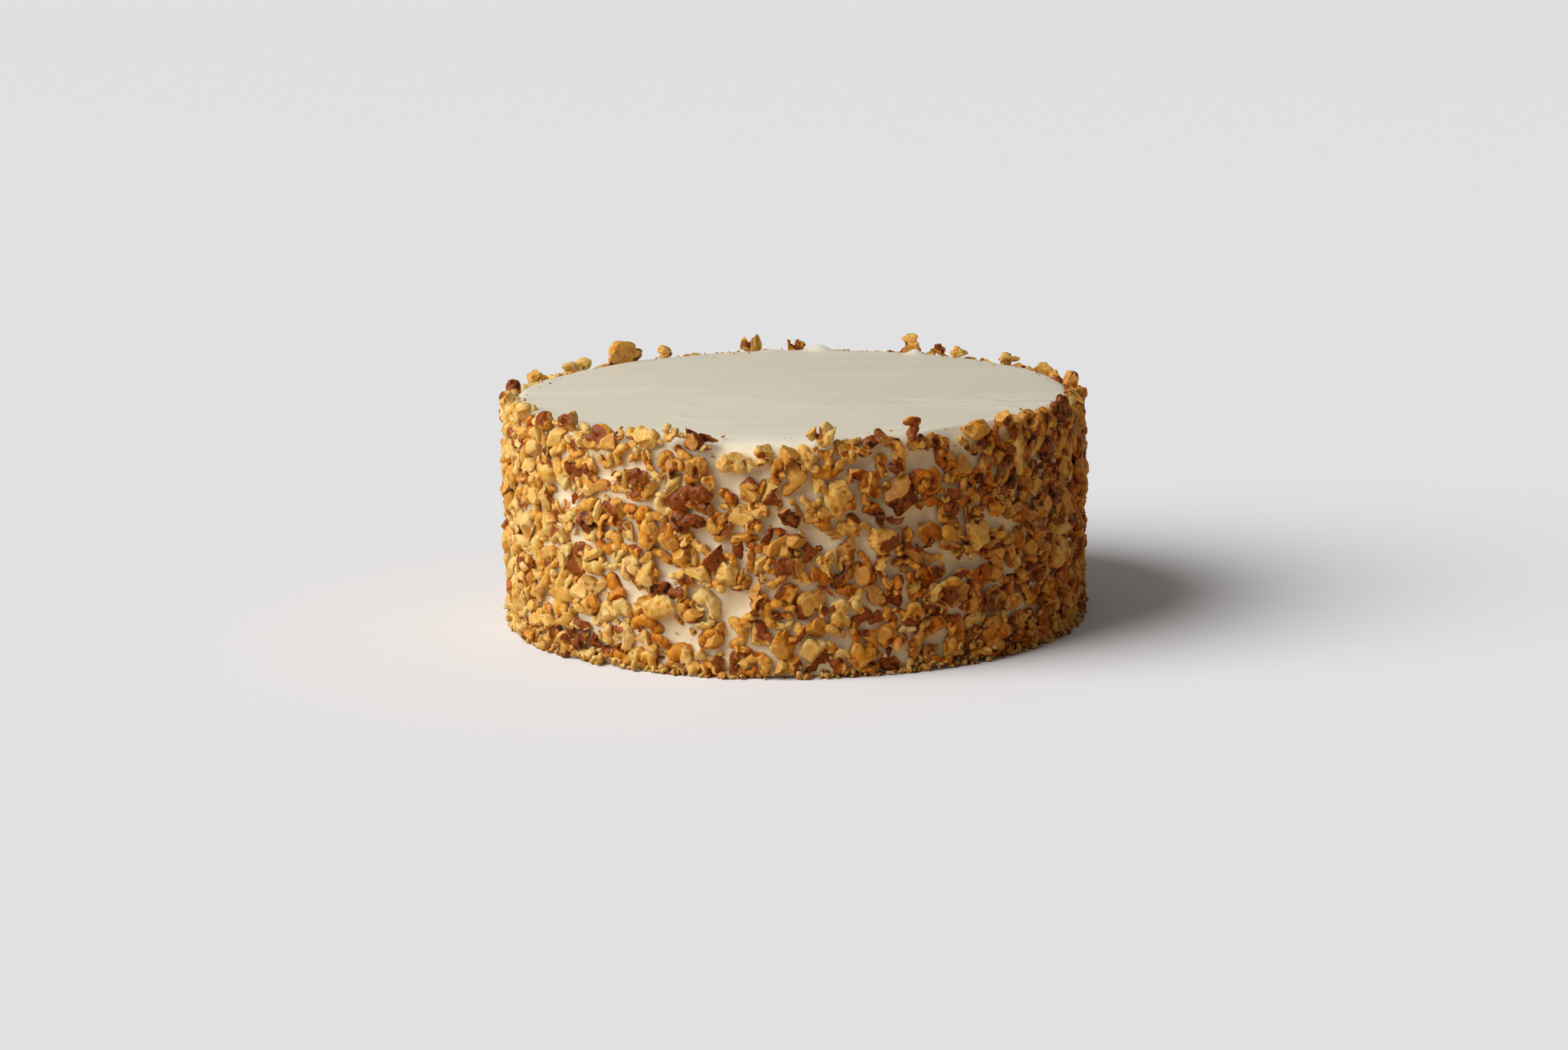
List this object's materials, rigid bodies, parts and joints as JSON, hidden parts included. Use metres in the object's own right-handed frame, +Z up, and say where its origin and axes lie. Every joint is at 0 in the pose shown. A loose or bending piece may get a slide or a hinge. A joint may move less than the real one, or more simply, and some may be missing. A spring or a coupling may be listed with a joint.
{
  "type": "carrot cake",
  "caption": "Round uncut carrot cake with smooth cream frosting on top and its whole side coated in chopped walnuts, with larger chunks standing along the rim.",
  "frame": {"origin": "centre of the flat foot, on the surface that the cake stands on", "axes": "+Z up along the cake's axis, -Y towards the side that faces the viewer"},
  "size_m": [0.2465, 0.2472, 0.1035],
  "materials": {
    "frosting": "smooth satin cream frosting",
    "walnut_coat": "chopped walnut pieces, golden with brown skins",
    "golden_walnut": "pale golden walnut flesh",
    "brown_walnut": "orange-brown walnut skin",
    "dark_walnut": "dark brown walnut skin"
  },
  "bodies": {
    "root": {"frosted_cake": "frosting", "walnut_coat": "walnut_coat", "walnut_chunk_01": "dark_walnut", "walnut_chunk_02": "golden_walnut", "walnut_chunk_03": "golden_walnut", "walnut_chunk_04": "golden_walnut", "walnut_chunk_05": "brown_walnut", "walnut_chunk_06": "brown_walnut", "walnut_chunk_07": "brown_walnut", "walnut_chunk_08": "golden_walnut", "walnut_chunk_09": "golden_walnut", "walnut_chunk_10": "brown_walnut", "walnut_chunk_11": "golden_walnut", "walnut_chunk_12": "golden_walnut", "walnut_chunk_13": "dark_walnut", "walnut_chunk_14": "golden_walnut", "walnut_chunk_15": "golden_walnut", "walnut_chunk_16": "brown_walnut", "walnut_chunk_17": "brown_walnut", "walnut_chunk_18": "brown_walnut", "walnut_chunk_19": "golden_walnut", "walnut_chunk_20": "golden_walnut", "walnut_chunk_21": "dark_walnut", "walnut_chunk_22": "golden_walnut", "walnut_chunk_23": "dark_walnut", "walnut_chunk_24": "brown_walnut", "walnut_chunk_25": "golden_walnut", "walnut_chunk_26": "brown_walnut", "walnut_chunk_27": "dark_walnut", "walnut_chunk_28": "brown_walnut", "walnut_chunk_29": "golden_walnut", "walnut_chunk_30": "dark_walnut", "walnut_chunk_31": "golden_walnut", "walnut_chunk_32": "dark_walnut", "walnut_chunk_33": "dark_walnut", "walnut_chunk_34": "brown_walnut", "walnut_chunk_35": "brown_walnut", "walnut_chunk_36": "golden_walnut", "walnut_chunk_37": "dark_walnut", "walnut_chunk_38": "brown_walnut", "walnut_chunk_39": "dark_walnut", "walnut_chunk_40": "golden_walnut", "walnut_chunk_41": "golden_walnut", "walnut_chunk_42": "brown_walnut", "walnut_chunk_43": "golden_walnut", "walnut_chunk_44": "brown_walnut", "walnut_chunk_45": "dark_walnut", "walnut_chunk_46": "brown_walnut", "walnut_chunk_47": "golden_walnut", "walnut_chunk_48": "golden_walnut", "walnut_chunk_49": "golden_walnut", "walnut_chunk_50": "brown_walnut", "walnut_chunk_51": "dark_walnut", "walnut_chunk_52": "brown_walnut", "walnut_chunk_53": "brown_walnut", "walnut_chunk_54": "golden_walnut", "walnut_chunk_55": "golden_walnut", "walnut_chunk_56": "dark_walnut", "walnut_chunk_57": "brown_walnut"}
  },
  "joints": []
}
